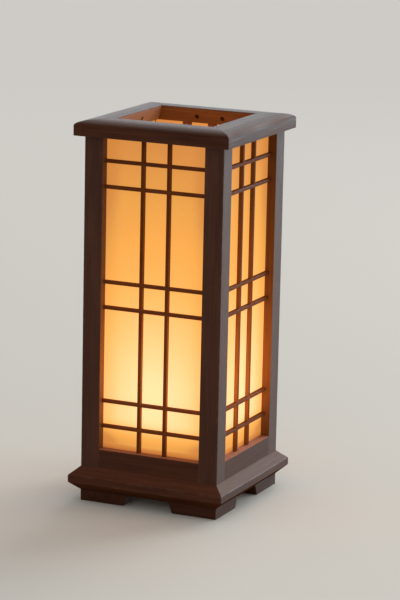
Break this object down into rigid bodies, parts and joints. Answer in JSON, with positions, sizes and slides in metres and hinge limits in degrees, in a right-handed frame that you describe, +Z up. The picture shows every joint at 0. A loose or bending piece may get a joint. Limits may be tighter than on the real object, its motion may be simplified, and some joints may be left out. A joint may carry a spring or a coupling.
{
  "type": "shoji table lamp",
  "caption": "Square wooden lantern lamp with paper panels behind a thin lattice, an open moulded cap, bracket feet and a small screw-base bulb on a deck inside.",
  "frame": {"origin": "on the table, under the middle of the lamp", "axes": "+Z up; the side called front faces -Y; all four sides are alike"},
  "size_m": [0.1356, 0.1356, 0.3107],
  "materials": {
    "frame_wood": "dark stained hardwood, satin, fine straight grain",
    "lattice_wood": "dark stained hardwood strip, satin",
    "inner_wood": "dark stained hardwood, matte",
    "raw_wood": "unstained softwood, sawn",
    "deck_plywood": "birch plywood, sanded",
    "shoji_paper": "matte translucent paper sheet, warm when lit",
    "dark_brass": "darkened brass pin heads",
    "brass": "plain turned brass",
    "zinc_steel": "zinc plated screws",
    "nickel_steel": "nickel plated screw cap",
    "bushing_rubber": "black, matte",
    "holder_plastic": "black moulded lampholder",
    "black_glass": "black glazed insulator",
    "bulb_plastic": "white moulded lamp housing",
    "frosted_globe": "frosted diffuser, lit warm white"
  },
  "bodies": {
    "root": {"foot_front_right": "frame_wood", "foot_back_right": "frame_wood", "foot_back_left": "frame_wood", "foot_front_left": "frame_wood", "post_front_right": "frame_wood", "post_back_right": "frame_wood", "post_back_left": "frame_wood", "post_front_left": "frame_wood", "bottom_rail_front": "frame_wood", "bottom_rail_right": "frame_wood", "bottom_rail_back": "frame_wood", "bottom_rail_left": "frame_wood", "base_moulding_front": "frame_wood", "base_moulding_right": "frame_wood", "base_moulding_back": "frame_wood", "base_moulding_left": "frame_wood", "cap_rail_front": "frame_wood", "cap_rail_right": "frame_wood", "cap_rail_back": "frame_wood", "cap_rail_left": "frame_wood", "paper_panel_front": "shoji_paper", "paper_panel_right": "shoji_paper", "paper_panel_back": "shoji_paper", "paper_panel_left": "shoji_paper", "lattice_uprights_front": "lattice_wood", "lattice_uprights_right": "lattice_wood", "lattice_uprights_back": "lattice_wood", "lattice_uprights_left": "lattice_wood", "lattice_low_bars_front": "lattice_wood", "lattice_low_bars_right": "lattice_wood", "lattice_low_bars_back": "lattice_wood", "lattice_low_bars_left": "lattice_wood", "lattice_mid_bars_front": "lattice_wood", "lattice_mid_bars_right": "lattice_wood", "lattice_mid_bars_back": "lattice_wood", "lattice_mid_bars_left": "lattice_wood", "lattice_high_bars_front": "lattice_wood", "lattice_high_bars_right": "lattice_wood", "lattice_high_bars_back": "lattice_wood", "lattice_high_bars_left": "lattice_wood", "lattice_pins": "dark_brass", "paper_stops": "inner_wood", "foot_screws": "zinc_steel", "deck_board": "deck_plywood", "deck_cleats": "raw_wood", "deck_screws": "zinc_steel", "threaded_nipple": "brass", "nipple_nut": "brass", "cord_bushing": "bushing_rubber", "lampholder_body": "holder_plastic", "lampholder_shell": "brass", "lampholder_contact": "brass"},
    "bulb_cap": {"bulb_screw_cap": "nickel_steel", "bulb_insulator": "black_glass", "bulb_contact": "nickel_steel"},
    "bulb": {"bulb_housing": "bulb_plastic", "bulb_globe": "frosted_globe"}
  },
  "joints": [
    {"name": "bulb_rise", "type": "slide", "parent": "root", "child": "bulb_cap", "axis": [0, 0, 1], "range_m": [0, 0.0115]},
    {"name": "bulb_turn", "type": "hinge", "parent": "bulb_cap", "child": "bulb", "pos_m": [0, 0, 0.0972], "axis": [0, 0, 1], "range_deg": [0, 1440]}
  ],
  "couplings": [
    {"joint": "bulb_rise", "follows": "bulb_turn", "m_per_rad": 0.00044882}
  ]
}
